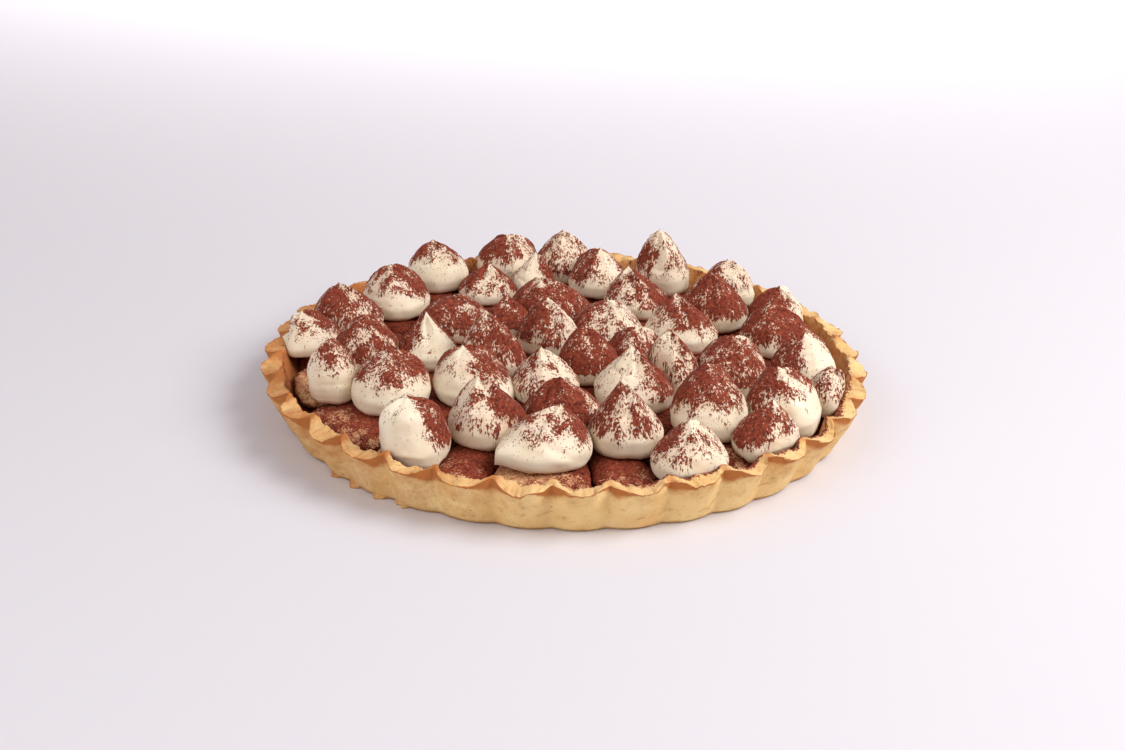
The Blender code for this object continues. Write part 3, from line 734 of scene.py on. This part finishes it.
def wallFlaws(up, turns):
    # short, nearly level cracks and round pits in the baked wall, as depth in mm
    flaws = np.zeros_like(up)
    for _ in range(shortcrust["cracks"]):
        at, high = chance.uniform(0, 360), chance.uniform(3.0, 18.0)
        long, thick, deep = chance.uniform(0.8, 4.0), chance.uniform(0.3, 0.5), chance.uniform(0.1, 0.5)
        along = turnFrom(turns, at) * mmPerDegree
        across = up - high - 0.4 * np.sin(along / 1.7) - 0.1 * along
        flaws = np.maximum(flaws, deep * bell(across, thick) * np.exp(-(along / long) ** 4)[None, :])
    for _ in range(shortcrust["pits"]):
        at, high = chance.uniform(0, 360), chance.uniform(1.5, 19.0)
        wide, deep = chance.uniform(0.35, 0.7), chance.uniform(0.15, 0.6)
        along = turnBetween(turns, at) * mmPerDegree
        flaws = np.maximum(flaws, deep * bell(along, 1.3 * wide)[None, :] * bell(up - high, wide))
    return flaws


def makeCrust():
    # fluted wall, torn rim and inner face between the solid's own edges, with cracks, pits and flakes
    turns, (foot, low, high, inLow, inHigh), (edgeOut, edgeUp, crestOut, crestUp) = castCrust()
    columns = len(turns)
    fromCrease, whichCrease = findCreases(high, turns)
    away = np.abs(fromCrease)
    sharp = bell(away, 1.5)
    low, high, edgeOut = (blurRound(v, shortcrust["smoothing"]) * (1.0 - sharp) + blurRound(v, 1.2) * sharp
                          + shortcrust["deepen"] * (blurRound(v, 2.0) - blurRound(v, 30.0))
                          for v in (low, high - shortcrust["bulge"], edgeOut))
    edgeUp, crestUp = blurRound(edgeUp, 1.8), blurRound(crestUp, 1.8)
    flute = whichCrease + (fromCrease > 0)
    tips = np.array([chance.uniform(0.1, 1.0) for _ in range(flute.max() + 1)])[flute]
    for azimuth, tip in rimTips.items():
        tips[turnBetween(turns, azimuth) < 180.0 / shortcrust["flutes"]] = tip
    edgeUp += shortcrust["tilt"] * tips * easeStep(0.5, 5.0, away)
    crestUp -= shortcrust["tilt"] * tips * easeStep(0.5, 5.0, away)
    edgeOut += 0.7 * shortcrust["ragged"] * (roughLine(1, columns, 1.4) + roughLine(2, columns, 5.0))
    edgeUp += 0.8 * shortcrust["ragged"] * (roughLine(3, columns, 1.4) + roughLine(4, columns, 5.0))
    crestOut = blurRound(crestOut, 3.0) + shortcrust["ragged"] * (roughLine(5, columns, 1.4)
                                                                 + 1.5 * roughLine(6, columns, 4.0))
    crestUp += shortcrust["ragged"] * (roughLine(7, columns, 1.4) + roughLine(8, columns, 4.0))
    for _ in range(shortcrust["notches"]):
        at, wide, deep = chance.uniform(0, 360), chance.uniform(0.5, 1.3), chance.uniform(0.3, 1.0)
        edgeUp -= deep * bell(turnBetween(turns, at) * mmPerDegree, wide)

    middle, highest = shortcrust["wallLevels"][1:]
    slope = (high - low) / (highest - middle)
    rise = np.sin(np.linspace(0.0, 1.0, shortcrust["wallRows"]) * math.pi / 2)[:, None]
    wallUp = shortcrust["wallFrom"] + (edgeUp - shortcrust["wallFrom"]) * rise
    wallOut = low + slope * (wallUp - middle)
    edgeOut += shortcrust["upright"] * (wallOut[-1] - edgeOut)
    wallOut += (edgeOut - wallOut[-1]) * easeStep(0.75, 1.0, rise)
    flaws = wallFlaws(wallUp, turns) * easeStep(0.0, 0.08, rise) * (1.0 - easeStep(0.93, 0.99, rise))
    wallOut -= flaws

    across = (0.5 - 0.5 * np.cos(np.linspace(0, math.pi, shortcrust["rimRows"] + 1)[1:]))[:, None]
    rimOut = edgeOut + (crestOut - edgeOut) * across
    rimUp = edgeUp + (crestUp - edgeUp) * across
    rimUp += shortcrust["crown"] * 4.0 * across * (1.0 - across) * (0.6 + 2.0 * bell(away, 3.0))
    torn = 1.0 - bell(away - 0.5, 3.2)
    splits = np.zeros_like(rimUp)
    for _ in range(shortcrust["splits"]):
        at, wide, deep = chance.uniform(0, 360), chance.uniform(0.35, 0.6), chance.uniform(0.2, 0.6)
        bend = chance.uniform(-1.5, 1.5) * across + chance.uniform(0.3, 0.7)
        shape = bell(turnFrom(turns, at)[None, :] * mmPerDegree - bend, wide)
        splits = np.maximum(splits, deep * shape * (1.0 - easeStep(0.3, 0.9, across)))
    rimUp -= splits * torn

    drop = np.linspace(0.02, 1.0, shortcrust["innerRows"])[:, None]
    innerUp = crestUp + (shortcrust["innerTo"] - crestUp) * drop
    floorLow, floorHigh = shortcrust["innerLevels"]
    above = inHigh + (crestOut - inHigh) * (innerUp - floorHigh) / (crestUp - floorHigh)
    below = inLow + (inHigh - inLow) * (innerUp - floorLow) / (floorHigh - floorLow)
    innerOut = np.where(innerUp > floorHigh, above, below)

    footLine = low + slope * (0.0 - middle)
    bump = np.maximum(0.0, foot - footLine)
    flake = easeStep(0.7, 1.3, bump) * (bump + 0.6 * roughLine(11, columns, 1.5) + 0.5)
    thick = shortcrust["flake"]
    footOut = np.stack((np.full(columns, shortcrust["underside"]), footLine - 2.5, footLine - 0.8 + flake,
                        footLine - 0.5 + 0.93 * flake, footLine + 0.35 + 0.1 * flake))
    footUp = np.stack([np.full(columns, z) for z in (0.0, 0.0, 0.0, thick, thick + 0.25)])

    out = np.concatenate((footOut, wallOut, rimOut, innerOut))
    up = np.concatenate((footUp, wallUp, rimUp, innerUp))
    sweep = np.radians(turns)
    floorOut, floorUp = shortcrust["floor"]
    out, up = np.vstack((out, np.full(columns, floorOut))), np.vstack((up, np.full(columns, floorUp)))
    rings = np.stack((out * np.cos(sweep), out * np.sin(sweep), up), axis=-1) * mm
    piece = ringPiece("shortcrust", (0.0, 0.0, 0.0), rings, (0.0, 0.0, floorUp * mm), upward=True)

    # browned at the creases' shoulders and under the edge, and browner on some sides than on others; on the
    # left side this is painted shade
    wallStart = len(footOut)
    rimStart, innerStart = wallStart + len(wallOut), wallStart + len(wallOut) + len(rimOut)
    strength = np.array([chance.uniform(0.65, 1.2) for _ in range(whichCrease.max() + 1)])[whichCrease]
    shift = np.array([chance.uniform(-1.2, 1.2) for _ in range(whichCrease.max() + 1)])[whichCrease]
    shift = shift + 1.0 + 4.0 * np.cos(sweep)
    hang = 0.7 + 7.0 * strength * bell(fromCrease - shift, 4.6)
    # extra brown by side: on the left side, facing away from the key light, it is painted shade
    sideShadeAndBrowning = sum(share * facing(turns, side) ** narrow for side, share, narrow in shadedAndBrownedSides)
    browningAndShade = np.tile(sideShadeAndBrowning, (len(out), 1))
    shoulder = 1.0 - easeStep(0.0, 1.0, (edgeUp - wallUp) / hang)
    browningAndShade[wallStart:rimStart] += 1.6 * shoulder * np.minimum(1.0, strength)
    browningAndShade[wallStart:rimStart] += 0.2 * easeStep(0.3, 0.9, rise) - 0.08
    browningAndShade[:wallStart + 1] += 0.2
    browningAndShade[rimStart:innerStart] += 0.2 - 0.4 * facing(turns, -20.0) + 0.75 * bell(away, 3.0)
    browningAndShade[rimStart:innerStart] += 0.12 * roughLine(10, columns, 5.0)
    browningAndShade[innerStart:] += 0.5
    tornFace = np.zeros_like(out)
    bare = np.clip(0.6 + 0.16 * roughLine(9, columns, 6.0), 0.2, 0.9)
    # the torn rim stays less pale on those sides, so the painted shade of the left side reaches it too
    tornFace[rimStart:innerStart] = bare * torn * (1.0 - 0.75 * np.minimum(1.0, 2.2 * sideShadeAndBrowning))
    cocoaSide = facing(turns, -45.0) ** 3.0
    dust = np.full_like(out, 0.03)
    dust[rimStart:innerStart] += (0.05 + 0.8 * cocoaSide) * easeStep(0.45, 1.0, across)
    dust[innerStart:] += 0.12 + 0.65 * facing(turns, -100.0)
    # darker with depth: painted shade in the wall's cracks and the rim's splits, and the brown of the specks
    # in the pits
    speckAndCrackShade = np.zeros_like(out)
    speckAndCrackShade[wallStart:rimStart] = flaws * 1.3
    speckAndCrackShade[rimStart:innerStart] = splits * torn
    grain, lump = np.full_like(out, 0.35), np.full_like(out, 0.6)
    grain[rimStart:innerStart] = 2.6
    grain[rimStart - 12:rimStart] = 1.0
    lump[rimStart - 8:innerStart] = 2.2
    scatter = 0.35 * dust
    for flat in (grain, lump, scatter):
        flat[:3], flat[-2:] = 0.0, 0.0
    weights = {"browningAndShade": browningAndShade, "torn": tornFace, "dust": np.clip(dust, 0.0, 1.0),
               "speckAndCrackShade": np.clip(speckAndCrackShade, 0.0, 0.75), "lump": lump, "grain": grain, "scatter": scatter}
    for name, values in weights.items():
        weights[name] = np.concatenate(([values[0, 0]], values.ravel(), [values[-1, 0]]))
    setWeights(piece, **weights)
    return roughen(piece, shortcrust, pastryMaterial)


crust = makeCrust()
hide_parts("crust")
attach(crust, "root")
print("baked the crust")


looseCocoa = {
    "density": 620000.0,      # grains for each square metre of fully dusted food
    "least": 0.12, "greatest": 0.34,          # mm, about half of a grain's width
    "seed": 5,
}


def scatterCocoa():
    # clumps of powder that stand on the food, over every dusted surface
    joined = bpy.data.meshes.new("dusted")
    points, faces, shares, start = [], [], [], 0
    for source in dollops + fingers + [bed, crust]:
        mesh = source.data
        place, _ = vertexArrays(mesh)
        share = np.empty(len(mesh.vertices), dtype=np.float32)
        mesh.attributes["scatter"].data.foreach_get("value", share)
        points.append(place)
        shares.append(share)
        faces.extend([start + v for v in p.vertices] for p in mesh.polygons)
        start += len(mesh.vertices)
    joined.from_pydata(np.concatenate(points).tolist(), [], faces)
    piece = bpy.data.objects.new("looseCocoa", joined)
    bpy.context.scene.collection.objects.link(piece)
    setWeights(piece, scatter=np.concatenate(shares))
    return runTree(piece, looseGrains, {
        "Density": looseCocoa["density"], "Least Size": looseCocoa["least"] * mm,
        "Greatest Size": looseCocoa["greatest"] * mm, "Seed": looseCocoa["seed"],
        "Material": cocoaMaterial})


grains = scatterCocoa()
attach(grains, "root")
print("dusted with", len(grains.data.polygons), "faces of loose cocoa")


studio = {
    "floor": "#d4d0d4", "room": "#f0ecef", "roomLight": 0.56,
    "floorFrom": -3.0, "floorTo": 1.4, "bend": 0.8, "wallTop": 3.5, "halfWidth": 4.0,
    "keyPower": 16.7, "keySize": 0.8, "keyPlace": (0.9, -0.25, 0.9),
    "fillPower": 8.5, "fillSize": 1.2, "fillPlace": (-0.9, -0.9, 0.9),
    "backPower": 24.0, "backSize": 1.5, "backPlace": (0.0, 1.6, 1.4), "backAim": (0.0, 1.8, 0.0),
    "backSpread": 90,             # degrees, narrow to miss the tart
}


def makeStudio():
    # pale sweep: a level floor that curves up into a wall well behind the tart
    end, bend = studio["floorTo"], studio["bend"]
    profile = [(studio["floorFrom"], 0.0), (end, 0.0)]
    profile += [(end + bend * math.sin(a), bend - bend * math.cos(a))
                for a in np.linspace(0.15, math.pi / 2, 10)]
    profile.append((end + bend, studio["wallTop"]))
    points = [(x, y, z) for y, z in profile for x in (-studio["halfWidth"], studio["halfWidth"])]
    faces = [(2 * i, 2 * i + 1, 2 * i + 3, 2 * i + 2) for i in range(len(profile) - 1)]
    mesh = bpy.data.meshes.new("studioSweep")
    mesh.from_pydata(points, [], faces)
    mesh.shade_smooth()
    sweep = bpy.data.objects.new("studioSweep", mesh)
    bpy.context.scene.collection.objects.link(sweep)
    # matt paper: uncoated fibres scatter light with no highlight
    mesh.materials.append(newMaterial("mattPaper", {
        "Base Color": linear(studio["floor"]), "Roughness": 0.9, "Specular IOR Level": 0.1})[0])
    world = bpy.data.worlds.new("studioRoom")
    bpy.context.scene.world = world
    world.use_nodes = True
    world.node_tree.nodes["Background"].inputs["Color"].default_value = linear(studio["room"])
    world.node_tree.nodes["Background"].inputs["Strength"].default_value = studio["roomLight"]
    for name in ("key", "fill", "back"):
        light = bpy.data.lights.new(name + "Light", "AREA")
        light.energy, light.size = studio[name + "Power"], studio[name + "Size"]
        light.spread = math.radians(studio.get(name + "Spread", 180))
        lamp = bpy.data.objects.new(name + "Light", light)
        lamp.location = studio[name + "Place"]
        aim = Vector(studio.get(name + "Aim", (0.0, 0.0, 0.0)))
        lamp.rotation_euler = (aim - lamp.location).to_track_quat("-Z", "Y").to_euler()
        bpy.context.scene.collection.objects.link(lamp)


# degrees, metres and, for the lens, mm
viewPoint = {
    "pitch": 24.1375, "roll": 1.597, "distance": 0.76343,
    "right": -0.0010388, "up": 0.00998998, "lens": 52.3104,
}


def makeCamera():
    pitch, roll = math.radians(viewPoint["pitch"]), math.radians(viewPoint["roll"])
    right = Vector((1, 0, 0))
    ahead = Vector((0, math.cos(pitch), -math.sin(pitch)))
    above = Vector((0, math.sin(pitch), math.cos(pitch)))
    place = -ahead * viewPoint["distance"] + right * viewPoint["right"] + above * viewPoint["up"]
    x = right * math.cos(roll) + above * math.sin(roll)
    y = above * math.cos(roll) - right * math.sin(roll)
    lens = bpy.data.cameras.new("camera")
    lens.sensor_width, lens.lens = 36.0, viewPoint["lens"]
    lens.clip_start, lens.clip_end = 0.01, 20.0
    camera = bpy.data.objects.new("camera", lens)
    camera.matrix_world = Matrix.Translation(place) @ Matrix((x, y, -ahead)).transposed().to_4x4()
    bpy.context.scene.collection.objects.link(camera)
    bpy.context.scene.camera = camera


makeStudio()
makeCamera()
bpy.context.scene.view_settings.view_transform = "Standard"
bpy.context.scene.view_settings.look = "None"
